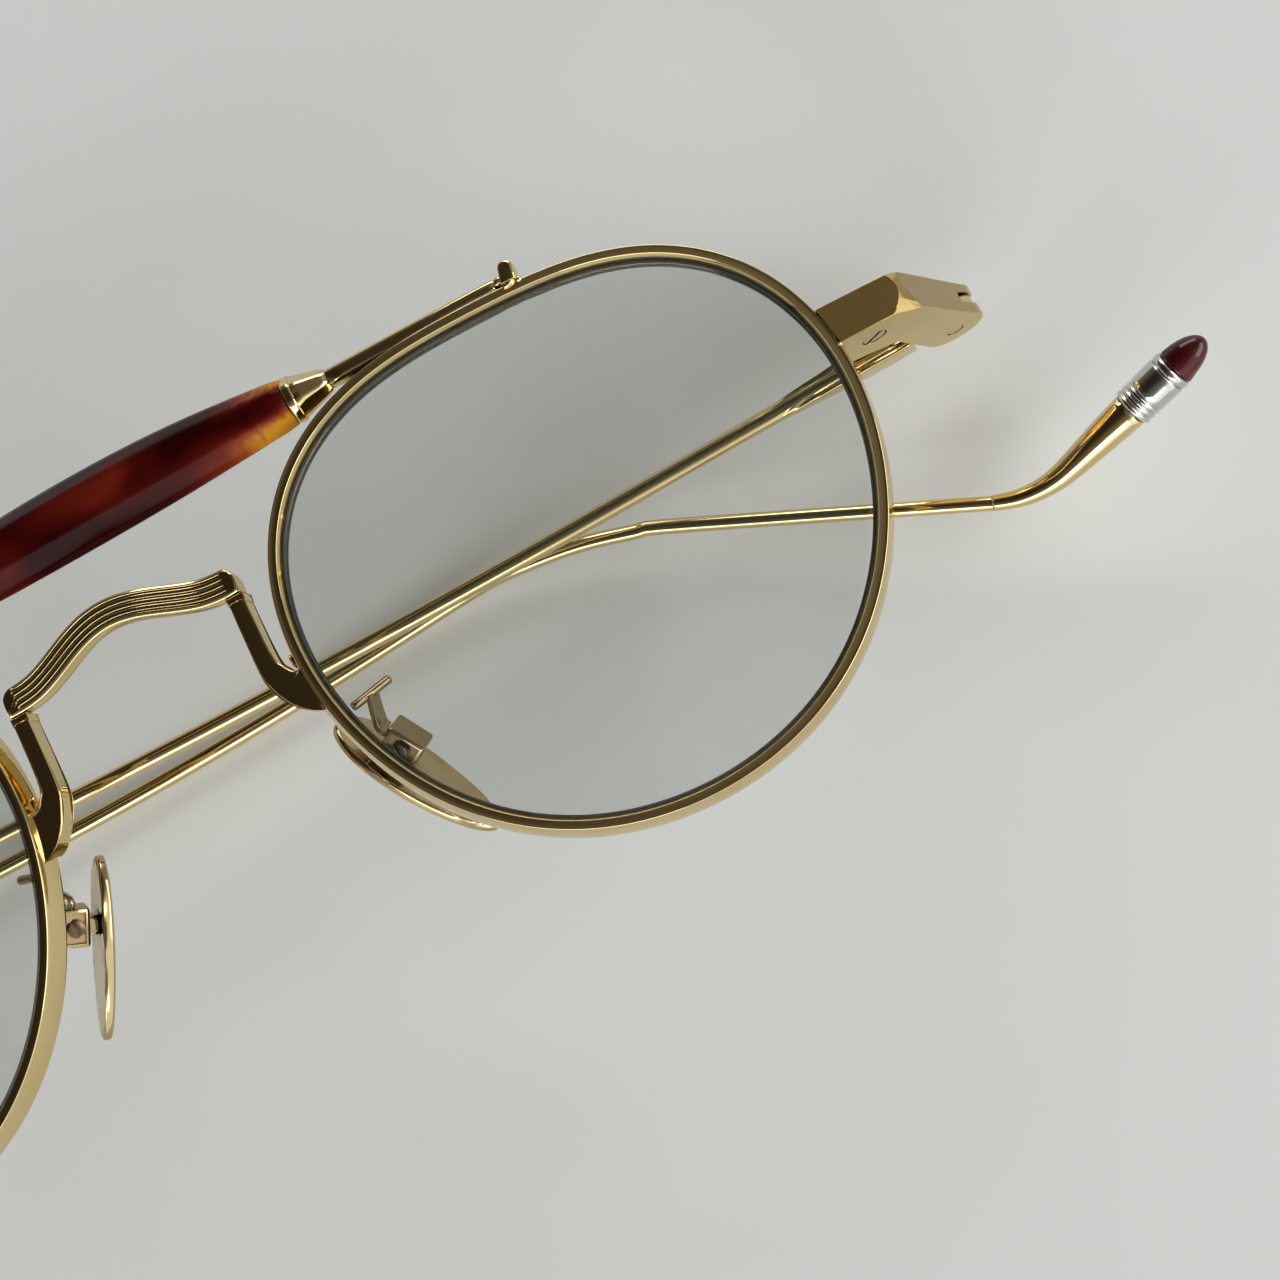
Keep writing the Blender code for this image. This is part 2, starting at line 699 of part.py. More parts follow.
def add_end_screws(label, side):
    closing = along_y((CLOSING_X, END_BOTTOM_Y + 0.04, CLOSING_Z))
    add_screw(f"closing_screw_{label}", side, front, closing, CLOSING_HEAD_RADIUS,
              CLOSING_HEAD_HEIGHT - 0.04, CLOSING_SHANK_RADIUS, CLOSING_LENGTH - 0.1, 43)
    top = END_BOTTOM_Y + END_REAR_HEIGHT
    downward = Matrix.Translation((HINGE_X, top - 0.04, HINGE_Z)) @ Matrix.Rotation(math.radians(90), 4, "X")
    add_screw(f"hinge_screw_{label}", side, front, downward, PIN_HEAD_RADIUS,
              PIN_HEAD_HEIGHT - 0.04 - SEAT_GAP, PIN_RADIUS, END_REAR_HEIGHT - 0.08, 20)


# Temples

def ramp(value, start, length, first, last):
    share = min(max((value - start) / length, 0), 1)
    return first + (last - first) * share


def temple_line(stations, tilt, sag):
    """Walk back from the hinge, turning the bow, the ear bend and the tip's bend."""
    place = Vector((0, 0, 0))
    travelled = 0.0
    step = 0.5
    places = []
    for station in stations:
        while travelled < station - 1e-6:
            advance = min(step, station - travelled)
            middle = travelled + advance / 2
            yaw = ramp(middle, 0, EAR_START, BOW_START, BOW_END)
            yaw += ramp(middle, TIP_START, TIP_BEND_LENGTH, 0, -TIP_INWARD - BOW_END)
            pitch = ramp(middle, EAR_START, EAR_BEND_LENGTH, 0, EAR_DROP)
            pitch += ramp(middle, TIP_START, TIP_BEND_LENGTH, 0, -EAR_DROP - TIP_LIFT)
            pitch += ramp(middle, SHANK_LENGTH, SHANK_LENGTH, 0, tilt)
            yaw, pitch = math.radians(yaw), math.radians(pitch)
            if middle < EAR_START:
                wave = math.pi / EAR_START
                pitch += sag * wave * math.cos(wave * middle) * ramp(middle, 0, SHANK_LENGTH, 0, 1)
            heading = Vector((math.sin(yaw) * math.cos(pitch), -math.sin(pitch),
                              -math.cos(yaw) * math.cos(pitch)))
            place = place + heading * advance
            travelled += advance
        places.append(place.copy())
    return places


def temple_section(along):
    """Fluted rectangle at the shank, round on the wire, wider in the sleeve at its end."""
    shank = 1 - ramp(along, SHANK_START + 4, SHANK_LENGTH - 4, 0, 1)
    radius = ramp(along, SHANK_START + SHANK_LENGTH, TIP_START - SHANK_START - SHANK_LENGTH,
                  WIRE_RADIUS, WIRE_NECK_RADIUS)
    sleeve = ramp(along, TEMPLE_LENGTH - SLEEVE_LENGTH, SLEEVE_LENGTH, 0, 1)
    radius += (SLEEVE_RADIUS - WIRE_NECK_RADIUS) * (0.5 * sleeve + 0.5 * sleeve ** 2 * (3 - 2 * sleeve))
    w, h = SHANK_THICKNESS / 2, SHANK_HEIGHT / 2
    groove = w - SHANK_FLUTE
    side = [(w, -h + 0.3), (w, -0.55 * h), (groove, -0.4 * h), (w, -0.25 * h),
            (w, 0.25 * h), (groove, 0.4 * h), (w, 0.55 * h), (w, h - 0.3)]
    flat = side + [(-a, -b) for a, b in side]
    count = len(flat)
    points = []
    for i, (a, b) in enumerate(flat):
        turn = math.tau * (i - (len(side) - 1) / 2) / count
        round_point = (radius * math.cos(turn), radius * math.sin(turn))
        points.append((a * shank + round_point[0] * (1 - shank), b * shank + round_point[1] * (1 - shank)))
    return points


def temple_stations():
    shank_end = SHANK_START + SHANK_LENGTH
    stations = [SHANK_START, SHANK_START + 4]
    stations += [SHANK_START + 4 + (SHANK_LENGTH - 4) * i / 5 for i in range(1, 6)]
    stations += [shank_end + (EAR_START - shank_end) * i / 7 for i in range(1, 8)]
    stations += [EAR_START + EAR_BEND_LENGTH * i / 5 for i in range(1, 6)]
    straight = TIP_START - EAR_START - EAR_BEND_LENGTH
    stations += [TIP_START - straight * share for share in (0.55, 0.22, 0.08, 0)]
    stations += [TIP_START + TIP_BEND_LENGTH * i / 5 for i in range(1, 6)]
    bend_end = TIP_START + TIP_BEND_LENGTH
    stations += [bend_end + (TEMPLE_LENGTH - bend_end) * i / 3 for i in (1, 2, 3)]
    return stations


def knuckle_mesh():
    """The hinge's middle leaf: a disc round the pin with a tongue into the shank."""
    half_width = 0.42 * SHANK_THICKNESS
    reach = SHANK_START + 1.5
    start = -90 + math.degrees(math.asin(half_width / KNUCKLE_RADIUS))
    steps = 18
    outline = []
    for i in range(steps + 1):
        a = math.radians(start + (180 - 2 * (start + 90) + 180) * i / steps)
        outline.append((KNUCKLE_RADIUS * math.cos(a), KNUCKLE_RADIUS * math.sin(a)))
    outline += [(-half_width, -reach), (half_width, -reach)]
    hole = []
    for i in range(16):
        a = math.tau * i / 16
        hole.append(((PIN_RADIUS + RUNNING_GAP) * math.cos(a), (PIN_RADIUS + RUNNING_GAP) * math.sin(a)))
    bm = plate([outline, hole], -KNUCKLE_THICKNESS / 2, KNUCKLE_THICKNESS / 2)
    lay_on_side(bm)
    return bm


def add_temple(label, side, fold, tilt, sag):
    hinge = make_empty(f"hinge_{label}", front, (side * HINGE_X, HINGE_Y, HINGE_Z),
                       Matrix.Rotation(math.radians(side * fold), 3, "Y"))
    stations = temple_stations()
    path = temple_line(stations, tilt, sag)
    sections = [temple_section(station) for station in stations]
    temple = add_part(f"temple_{label}", skin_path(path, sections), gold, hinge, side)
    knuckle = add_cutter(f"knuckle_{label}", knuckle_mesh(), hinge, side)
    cut(temple, knuckle, "UNION")

    end, before = path[-1], path[-2]
    heading = (end - before).normalized()
    turn = heading.to_track_quat("Z", "Y").to_matrix().to_4x4()
    ferrule_frame = Matrix.Translation(end + heading * SEAT_GAP) @ turn
    add_part(f"temple_ferrule_{label}", turned(ferrule_profile(), 20, ferrule_frame), silver, hinge, side)
    tip_start = end + heading * (TIP_FERRULE_LENGTH + 2 * SEAT_GAP)
    tip_frame = Matrix.Translation(tip_start) @ turn
    add_part(f"temple_tip_{label}", turned(tip_profile(), 20, tip_frame), tip_red, hinge, side)


def ferrule_profile():
    """Three fine rings, a broad band and one more ring."""
    radius = TIP_FERRULE_RADIUS
    valley = radius - 0.14
    profile = [(0, 0), (0, valley)]
    ring = 0.11 * TIP_FERRULE_LENGTH
    for i in range(3):
        start = ring * i
        profile += [(start + 0.3 * ring, radius), (start + 0.7 * ring, radius), (start + ring, valley)]
    band_start, band_end = 3.3 * ring, 0.82 * TIP_FERRULE_LENGTH
    profile += [(band_start, radius), (band_end, radius), (band_end + 0.1, valley),
                (band_end + 0.3, radius), (TIP_FERRULE_LENGTH - 0.15, radius),
                (TIP_FERRULE_LENGTH, valley), (TIP_FERRULE_LENGTH, 0)]
    return profile


def tip_profile():
    """A bullet nose."""
    profile = [(0, 0)]
    steps = 6
    for i in range(steps):
        share = math.sin(math.pi / 2 * i / steps)
        profile.append((TIP_LENGTH * share, TIP_RADIUS * math.sqrt(1 - share ** 2)))
    profile.append((TIP_LENGTH, 0))
    return profile


# Nose pads

def pad_axes():
    """Rotation whose columns are the pad's width, up and front directions."""
    up = Vector(PAD_UP).normalized()
    out = Vector(PAD_FRONT)
    out = (out - up * out.dot(up)).normalized()
    return Matrix((up.cross(out), up, out)).transposed()


def pad_outline(scale=1.0):
    """A long oval, a little fuller at its upper end."""
    points = []
    steps = 32
    for i in range(steps):
        a = math.tau * i / steps
        x = PAD_WIDTH / 2 * math.cos(a)
        y = PAD_LENGTH / 2 * math.sin(a)
        fuller = 1 + PAD_FULLER_TOP * math.sin(a)
        points.append((x * fuller * scale, y * scale - PAD_PIVOT_UP))
    return points


def pad_mesh():
    """The pad's plate: flat on its front, crowned on the nose side."""
    top = -PAD_PIVOT_OUT + PAD_THICKNESS / 2
    levels = [(0.95, top), (1.0, top - 0.18), (1.0, top - 0.7 * PAD_THICKNESS),
              (0.93, top - PAD_THICKNESS), (0.6, top - PAD_THICKNESS - 0.7 * PAD_CROWN)]
    rings = [[Vector((x, y, z)) for x, y in pad_outline(scale)] for scale, z in levels]
    bm = loft(rings, cap_start=True, cap_end=False)
    close_with_fan(bm, rings[-1], Vector((0, -PAD_PIVOT_UP, top - PAD_THICKNESS - PAD_CROWN)))
    return bm


def add_nose_pad(label, side, move):
    """The pad, its box and its screw, bent by a move towards the nose and up."""
    axes = pad_axes()
    pivot = Vector(PAD_CENTRE) + axes @ Vector((0, PAD_PIVOT_UP, PAD_PIVOT_OUT)) + Vector((-move[0], move[1], 0))
    if side < 0:
        flip = Matrix.Diagonal((-1, 1, 1))
        axes = flip @ axes @ flip
    frame = make_empty(f"pad_pivot_{label}", front, (side * pivot.x, pivot.y, pivot.z), axes)

    pad = add_part(f"pad_{label}", pad_mesh(), gold, frame, side)
    inner = BOX_WIDTH / 2 - BOX_WALL
    post_half = inner - RUNNING_GAP
    post_low = -PAD_PIVOT_OUT + PAD_THICKNESS / 2 - 0.4
    post = box((-post_half, -POST_LENGTH / 2, post_low), (post_half, POST_LENGTH / 2, POST_TOP))
    cut(pad, add_cutter(f"post_{label}", post, frame, side), "UNION")
    reach = BOX_WIDTH / 2 + BOSS_HEIGHT - 0.25
    bore = cylinder(PAD_SCREW_RADIUS + RUNNING_GAP, (-BOX_WIDTH, 0, 0), (reach, 0, 0), 14)
    bore_cutter = add_cutter(f"cutter_pad_bore_{label}", bore, frame, side)
    cut(pad, bore_cutter)

    shell = box((-BOX_WIDTH / 2, -BOX_LENGTH / 2, -BOX_LOW), (BOX_WIDTH / 2, BOX_LENGTH / 2, BOX_HIGH))
    housing = add_part(f"pad_box_{label}", shell, gold, frame, side)
    bevel(housing, 0.25, 2)
    turn = Matrix.Rotation(math.radians(90), 4, "Y")
    dome = [(-0.3, 0), (-0.3, BOSS_RADIUS)]
    dome += [(BOSS_HEIGHT * math.sin(math.radians(a)), BOSS_RADIUS * math.cos(math.radians(a)))
             for a in (0, 25, 50, 70)]
    dome.append((BOSS_HEIGHT, 0))
    boss = turned(dome, 20, Matrix.Translation((BOX_WIDTH / 2, 0, 0)) @ turn)
    cut(housing, add_cutter(f"boss_{label}", boss, frame, side), "UNION")
    hollow = box((-inner, -BOX_LENGTH / 2 + BOX_WALL, -BOX_LOW - 1), (inner, BOX_LENGTH / 2 - BOX_WALL, BOX_HIGH - BOX_WALL))
    cut(housing, add_cutter(f"cutter_box_{label}", hollow, frame, side))
    cut(housing, bore_cutter)
    face, edge = BOX_WIDTH / 2, 0.36
    pocket = box((-face - 1, -BOX_LENGTH / 2 + edge, -BOX_LOW + edge),
                 (-face + BOX_POCKET, BOX_LENGTH / 2 - edge, BOX_HIGH - edge))
    cut(housing, add_cutter(f"cutter_pocket_{label}", pocket, frame, side))

    head_x = face - BOX_POCKET + 0.06
    screw_frame = Matrix.Translation((-head_x - PAD_SCREW_HEAD_HEIGHT, 0, 0)) @ turn
    length = head_x + PAD_SCREW_HEAD_HEIGHT + reach - SEAT_GAP
    add_screw(f"pad_screw_{label}", side, frame, screw_frame, PAD_SCREW_HEAD_RADIUS,
              PAD_SCREW_HEAD_HEIGHT, PAD_SCREW_RADIUS, length, 35)
    return pivot + pad_axes() @ Vector((0, BOX_LENGTH / 2, 0.2))


def add_pad_arm(label, side, box_top):
    """A round bar on the back of the rim, with a flat strip from its middle to the pad's box."""
    width, up, out = (pad_axes() @ Vector(axis) for axis in ((1, 0, 0), (0, 1, 0), (0, 0, 1)))
    start, end = Vector(PAD_BAR_START), Vector(PAD_BAR_END)
    curve = bpy.data.curves.new("pad_arm", "CURVE")
    curve.dimensions = "3D"
    curve.bevel_depth = PAD_BAR_RADIUS
    curve.bevel_resolution = 2
    curve.use_fill_caps = True
    spline = curve.splines.new("POLY")
    stops = [(0, 0.8), (0.04, 1), (0.5, 1), (0.9, 1.05), (0.97, 0.9), (1, 0.55)]
    spline.points.add(len(stops) - 1)
    for target, (share, radius) in zip(spline.points, stops):
        target.co = (*start.lerp(end, share), 1)
        target.radius = radius
    arm = add_part(f"pad_arm_{label}", shown_bmesh(curve), gold, front, side)

    middle = start.lerp(end, 0.5)
    foot = box_top + up * SEAT_GAP
    route = smooth_route([middle, middle.lerp(foot, 0.5) - out * 0.45, foot + up * 0.5, foot], 3)
    rings = []
    for i, place in enumerate(route):
        along = (route[min(i + 1, len(route) - 1)] - route[max(i - 1, 0)]).normalized()
        normal = along.cross(width).normalized()
        across = normal.cross(along)
        rings.append([place + across * a + normal * b
                      for a, b in chamfered(PAD_STRIP_WIDTH, PAD_STRIP_THICKNESS, 0.1)])
    cut(arm, add_cutter(f"strip_{label}", loft(rings), front, side), "UNION")


def smooth_route(route, steps):
    """Points along a smooth curve through the route's own points."""
    points = []
    for i in range(len(route) - 1):
        p0, p1 = route[max(i - 1, 0)], route[i]
        p2, p3 = route[i + 1], route[min(i + 2, len(route) - 1)]
        for k in range(steps):
            t = k / steps
            points.append(0.5 * (2 * p1 + (p2 - p0) * t + (2 * p0 - 5 * p1 + 4 * p2 - p3) * t ** 2
                                 + (3 * p1 - p0 - 3 * p2 + p3) * t ** 3))
    points.append(route[-1])
    return points


def stand_on_origin():
    """Move the whole part so that the middle of its lowest face level is the origin."""
    bpy.context.view_layer.update()
    depsgraph = bpy.context.evaluated_depsgraph_get()
    low = Vector((1e9, 1e9, 1e9))
    high = -low
    for obj in parts.objects:
        if obj.type != "MESH":
            continue
        evaluated = obj.evaluated_get(depsgraph)
        for vert in evaluated.data.vertices:
            place = evaluated.matrix_world @ vert.co
            low = Vector(map(min, low, place))
            high = Vector(map(max, high, place))
    front.location = (-(low.x + high.x) / 2, -(low.y + high.y) / 2, -low.z)


clear_scene()
parts = make_collection("round_sunglasses")
cutters = make_collection("cutters")
gold = make_material("polished_gold", (0.78, 0.64, 0.38), 0.18, 1.0)
screw_metal = make_material("screw_gold", (0.70, 0.58, 0.36), 0.25, 1.0)
silver = make_material("polished_silver", (0.80, 0.80, 0.78), 0.12, 1.0)
tortoise = make_material("tortoise_acetate", (0.12, 0.02, 0.012), 0.12, 0.0)
tip_red = make_material("dark_red_acetate", (0.10, 0.015, 0.012), 0.1, 0.0)
lens_grey = make_material("grey_lens", (0.55, 0.58, 0.56), 0.03, 0.0, 0.35)

front = make_empty("front_frame")
add_brow_bar()
add_bridge_saddle()
for label, side in SIDES.items():
    rim_cutter = add_rim_and_lens(label, side)
    add_brow_mount(label, side, rim_cutter)
    add_bridge_arm(label, side, rim_cutter)
    add_end_piece(label, side, rim_cutter)
    add_end_screws(label, side)
    fold, tilt, sag = (FOLD_LEFT, TILT_LEFT, SAG_LEFT) if side > 0 else (FOLD_RIGHT, TILT_RIGHT, SAG_RIGHT)
    add_temple(label, side, fold, tilt, sag)
    box_top = add_nose_pad(label, side, PAD_MOVE_LEFT if side > 0 else PAD_MOVE_RIGHT)
    add_pad_arm(label, side, box_top)
stand_on_origin()
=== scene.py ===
"""Round wire sunglasses: finishes, solder, floor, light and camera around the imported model."""

import json
import math

import bmesh
import bpy
from mathutils import Matrix, Vector


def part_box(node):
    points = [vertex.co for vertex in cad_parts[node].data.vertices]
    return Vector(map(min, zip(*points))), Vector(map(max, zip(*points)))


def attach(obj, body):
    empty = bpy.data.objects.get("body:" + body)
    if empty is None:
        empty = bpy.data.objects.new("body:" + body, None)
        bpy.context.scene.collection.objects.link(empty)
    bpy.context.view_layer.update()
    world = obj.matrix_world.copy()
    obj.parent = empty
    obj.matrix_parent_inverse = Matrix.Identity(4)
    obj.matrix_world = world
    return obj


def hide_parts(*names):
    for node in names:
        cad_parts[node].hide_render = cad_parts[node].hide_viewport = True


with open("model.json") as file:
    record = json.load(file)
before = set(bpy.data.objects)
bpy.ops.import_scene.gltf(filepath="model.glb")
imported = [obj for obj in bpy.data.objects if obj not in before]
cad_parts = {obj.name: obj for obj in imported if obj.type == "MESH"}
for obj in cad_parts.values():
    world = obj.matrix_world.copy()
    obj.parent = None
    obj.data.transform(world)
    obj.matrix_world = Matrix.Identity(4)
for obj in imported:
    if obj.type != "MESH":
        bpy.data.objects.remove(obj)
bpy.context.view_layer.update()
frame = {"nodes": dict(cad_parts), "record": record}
MM = 0.001

# Camera, aimed at a point on the object, in millimetres and degrees
CAMERA_TARGET = Vector((35.52, -10.28, 21.76))
CAMERA_DISTANCE = 152.0
CAMERA_AZIMUTH = 30.35
CAMERA_ELEVATION = 76.69
CAMERA_ROLL = 58.11
CAMERA_LENS = 57.41
CAMERA_SENSOR = 36
CAMERA_CLIP = 10

# Room: the radiance of its pale walls, and the directions of the middle of the dim ceiling, of the dimmer
# wall away from the window and of a dark cupboard
WALL_LIGHT = 1.32
CEILING_MIDDLE = (-0.42, 0.27, 0.866)
DIM_WALL = (-0.89, 0.45, 0)
CUPBOARD = (0.86, 0.23, 0.455)

# Between which cosines of the angle to their middles the dim wall and the cupboard begin and are in full,
# and the share of the light that is left there
DIM_WALL_COSINES = (0, 0.85)
DIM_WALL_SHARE = 0.68
CUPBOARD_COSINES = (0.78, 0.93)
CUPBOARD_SHARE = 0.28

# Colour of the room from the walls to the ceiling's middle, by the cosine of the angle to that middle
ROOM_COLOURS = [
    (0.0, (0.97, 0.98, 0.98)), (0.2, (1.0, 1.0, 0.99)), (0.36, (0.78, 0.77, 0.75)),
    (0.46, (0.36, 0.34, 0.31)), (0.58, (0.17, 0.155, 0.135)), (0.83, (0.095, 0.085, 0.07)),
    (0.93, (0.035, 0.03, 0.022)), (1.0, (0.025, 0.02, 0.014)),
]

# Soft lamps aimed at the object, with places and sizes in millimetres and powers in watts
LAMPS = {
    "window_lamp": {"place": (760, -330, 430), "size": (900, 420), "power": 4.1},
    "front_lamp": {"place": (-420, -780, 430), "size": (800, 350), "power": 2.75},
    "back_lamp": {"place": (330, 860, 430), "size": (700, 350), "power": 3.0},
}

# Floor, in millimetres: half its side, and how far it lies under the object so that they don't touch
FLOOR_HALF = 1500
FLOOR_GAP = 0.05

# Brow bar, in millimetres: half its length, the height of its ends, the length of the amber at each end and
# the last stretch of it that is amber in full
BAR_HALF = (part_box("brow_bar")[1].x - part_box("brow_bar")[0].x) / 2 / MM
BAR_END_Y = sum(corner.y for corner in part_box("brow_ferrule_left")) / 2 / MM
AMBER_LENGTH = 7.0
AMBER_IN_FULL = 0.5

# How much each face of a lens holds back, and how far its haze moves that
LENS_TINT = 0.16
LENS_HAZE = 0.01

# Plating: what multiplies the squared dull tone for the painted shade in corners, and the dull tone for the
# painted shade on a face; where the end piece's face with painted shade looks on the left side, and between
# which cosines of its angle to that direction a face gets that painted shade, and how much of it
CORNER_SHADE_TONE = 0.25
FACE_SHADE_TONE = 0.55
END_PIECE_SLOPE = (0.8, 0, 0.6)
FACE_SHADE_COSINES = (0.95, 0.98)
FACE_SHADE_COVER = 0.8

# Height at which the bridge arms' feet meet the rims, in millimetres
ARM_SOLDER_Y = 0.9

# Solder fillets of the wearer's left side: offset outward, up and to the front from a corner of the piece
# that they belong to, radii, both in millimetres, and turn in degrees
SOLDER = {
    "foot": {"offset": (-0.2, -0.02, -0.55), "radii": (0.62, 0.34, 0.4), "turn": 15},
    "drop": {"offset": (-0.14, -0.02, -0.8), "radii": (0.32, 0.3, 0.36), "turn": 0},
    "wire": {"offset": (-0.12, -0.46, -0.95), "radii": (0.68, 0.42, 0.5), "turn": 15},
    "arm": {"offset": (0.08, 0, -0.7), "radii": (0.2, 0.62, 0.34), "turn": 8},
    "end_low": {"offset": (-0.35, 0, -0.5), "radii": (0.3, 0.2, 0.36), "turn": 0},
    "end_high": {"offset": (-0.75, 0, -0.5), "radii": (0.3, 0.2, 0.36), "turn": 0},
}

# The seam of solder along the end piece's height: its offset, its half width and half depth, and its turn
SEAM_OFFSET = (-0.5, 0, -0.48)
SEAM_HALF_WIDTH = 0.24
SEAM_HALF_DEPTH = 0.36
SEAM_TURN = 7

# Faces round and along each bead of solder
BEAD_SEGMENTS = 24
BEAD_RINGS = 14

SIDES = {"left": 1, "right": -1}


# Node helpers

class Nodes:
    """A short way to add and link the nodes of one material or world."""

    def __init__(self, tree):
        self.tree = tree

    def add(self, kind, inputs=None, **settings):
        node = self.tree.nodes.new(kind)
        for name, value in settings.items():
            setattr(node, name, value)
        for name, value in (inputs or {}).items():
            if isinstance(value, bpy.types.NodeSocket):
                self.link(value, node.inputs[name])
            else:
                node.inputs[name].default_value = value
        return node

    def link(self, source, target):
        self.tree.links.new(source, target)

    def calculate(self, operation, a, b=0.0):
        return self.add("ShaderNodeMath", {0: a, 1: b}, operation=operation).outputs[0]

    def cosine(self, direction, other):
        """The dot product of two directions."""
        node = self.add("ShaderNodeVectorMath", {0: direction, 1: other}, operation="DOT_PRODUCT")
        return node.outputs["Value"]

    def coords(self, stretch=(1, 1, 1)):
        """Object coordinates in millimetres, stretched along each axis."""
        place = self.add("ShaderNodeTexCoord").outputs["Object"]
        scale = tuple(s / MM for s in stretch)
        return self.add("ShaderNodeMapping", {"Vector": place, "Scale": scale}).outputs["Vector"]

    def normal(self):
        """The surface's own direction on the object, before bumps."""
        return self.add("ShaderNodeTexCoord").outputs["Normal"]

    def noise(self, vector, scale, detail=3.0, roughness=0.5, distortion=0.0):
        return self.add("ShaderNodeTexNoise", {
            "Vector": vector, "Scale": scale, "Detail": detail, "Roughness": roughness,
            "Distortion": distortion}).outputs["Fac"]

    def ramp(self, factor, stops):
        node = self.add("ShaderNodeValToRGB", {"Fac": factor})
        elements = node.color_ramp.elements
        while len(elements) < len(stops):
            elements.new(0.5)
        for element, (place, colour) in zip(elements, stops):
            element.position = place
            element.color = (*colour, 1)
        return node.outputs["Color"]

    def remap(self, factor, before, after):
        """The factor's range before, low and high, stretched to the range after."""
        return self.add("ShaderNodeMapRange", {
            "Value": factor, "From Min": before[0], "From Max": before[1],
            "To Min": after[0], "To Max": after[1]}).outputs["Result"]

    def mix(self, factor, a, b):
        """From colour a to colour b, where each is a socket or three numbers."""
        node = self.add("ShaderNodeMix", data_type="RGBA")
        sockets = {s.identifier: s for s in node.inputs}
        self.link(factor, sockets["Factor_Float"])
        for name, value in (("A_Color", a), ("B_Color", b)):
            if isinstance(value, bpy.types.NodeSocket):
                self.link(value, sockets[name])
            else:
                sockets[name].default_value = (*value, 1)
        return next(s for s in node.outputs if s.identifier == "Result_Color")

    def bump(self, height, strength, distance, normal=None):
        inputs = {"Height": height, "Strength": strength, "Distance": distance * MM}
        if normal is not None:
            inputs["Normal"] = normal
        return self.add("ShaderNodeBump", inputs).outputs["Normal"]


def new_material(name):
    material = bpy.data.materials.new(name)
    material.use_nodes = True
    nodes = Nodes(material.node_tree)
    shader = material.node_tree.nodes["Principled BSDF"]
    return material, nodes, shader


# Materials, with noise scales per millimetre and distances in millimetres

def painted_face_shade(nodes, plating, dull, shade_direction):
    """Painted shade: a browner tone where the surface turns to the given direction, the same on both sides.
    """
    outward = nodes.add("ShaderNodeVectorMath", {0: nodes.normal()}, operation="ABSOLUTE").outputs[0]
    cover = nodes.remap(nodes.cosine(outward, shade_direction), FACE_SHADE_COSINES, (0, FACE_SHADE_COVER))
    return nodes.mix(cover, plating, tuple(FACE_SHADE_TONE * c for c in dull))


def metal(name, bright, dull, roughness, seed, reach=0.5, shade_direction=None):
    """Polished plating with slight tone patches, faint rubbing marks and painted shade in its corners and
    recesses, which reaches as many millimetres as reach says. Where a direction is given, the faces turned
    that way get painted shade, a browner tone."""
    material, nodes, shader = new_material(name)
    shifted = nodes.add("ShaderNodeVectorMath", {0: nodes.coords(), 1: (seed, 2 * seed, 3 * seed)},
                        operation="ADD").outputs[0]
    patches = nodes.noise(shifted, 0.12, roughness=0.6)
    plating = nodes.ramp(patches, [(0.3, dull), (0.62, bright)])
    if shade_direction:
        plating = painted_face_shade(nodes, plating, dull, shade_direction)
    # Painted shade: ambient occlusion darkens the plating towards the squared dull tone in corners and
    # recesses
    openness = nodes.add("ShaderNodeAmbientOcclusion", {"Distance": reach * MM}, samples=8).outputs["AO"]
    corner = nodes.remap(openness, (0.25, 0.75), (0.2, 1))
    painted_corner_shade = tuple(CORNER_SHADE_TONE * c * c for c in dull)
    nodes.link(nodes.mix(corner, painted_corner_shade, plating), shader.inputs["Base Color"])
    shader.inputs["Metallic"].default_value = 1

    smears = nodes.noise(shifted, 0.9, detail=4, roughness=0.6)
    polish = nodes.remap(smears, (0.3, 0.75), (roughness * 0.6, roughness * 1.5))
    nodes.link(polish, shader.inputs["Roughness"])
    waves = nodes.noise(shifted, 0.35, detail=1, roughness=0.4)
    ripple = nodes.bump(waves, strength=0.02, distance=0.2)
    rubs = nodes.noise(nodes.coords((9, 9, 2)), 1.0, detail=2, roughness=0.7)
    nodes.link(nodes.bump(rubs, strength=0.01, distance=0.02, normal=ripple), shader.inputs["Normal"])
    return material


def amber_warmth(nodes):
    """How far the bar's colour moves to amber: at its ends, most on their sides, in streaks."""
    place = nodes.add("ShaderNodeSeparateXYZ", {"Vector": nodes.coords()}).outputs
    from_middle = nodes.calculate("ABSOLUTE", place["X"])
    ending = nodes.remap(from_middle, (BAR_HALF - AMBER_LENGTH, BAR_HALF - AMBER_IN_FULL), (0, 1))
    to_side = nodes.calculate("ABSOLUTE", nodes.calculate("SUBTRACT", place["Y"], BAR_END_Y))
    warmth = nodes.calculate("MULTIPLY", ending, nodes.remap(to_side, (0.7, 1.5), (0.12, 0.62)))
    streaks = nodes.noise(nodes.coords((1.4, 0.6, 0.6)), 0.9, roughness=0.6)
    return nodes.calculate("MULTIPLY", warmth, nodes.remap(streaks, (0.3, 0.7), (0.55, 1.15)))


def tortoise(name):
    """Dark oxblood acetate with red-brown clouds that turns amber at the sides of both ends."""
    material, nodes, shader = new_material(name)
    clouds = nodes.noise(nodes.coords((0.45, 1, 1)), 0.15, detail=2, roughness=0.45, distortion=0.3)
    tone = nodes.calculate("ADD", clouds, amber_warmth(nodes))
    colour = nodes.ramp(tone, [
        (0.42, (0.02, 0.001, 0.0008)), (0.53, (0.065, 0.004, 0.003)), (0.63, (0.14, 0.014, 0.005)),
        (0.77, (0.29, 0.058, 0.009)), (1.0, (0.6, 0.28, 0.02))])
    nodes.link(colour, shader.inputs["Base Color"])
    polish = nodes.noise(nodes.coords(), 0.7)
    nodes.link(nodes.remap(polish, (0.3, 0.7), (0.12, 0.2)), shader.inputs["Roughness"])
    shader.inputs["IOR"].default_value = 1.13
    return material


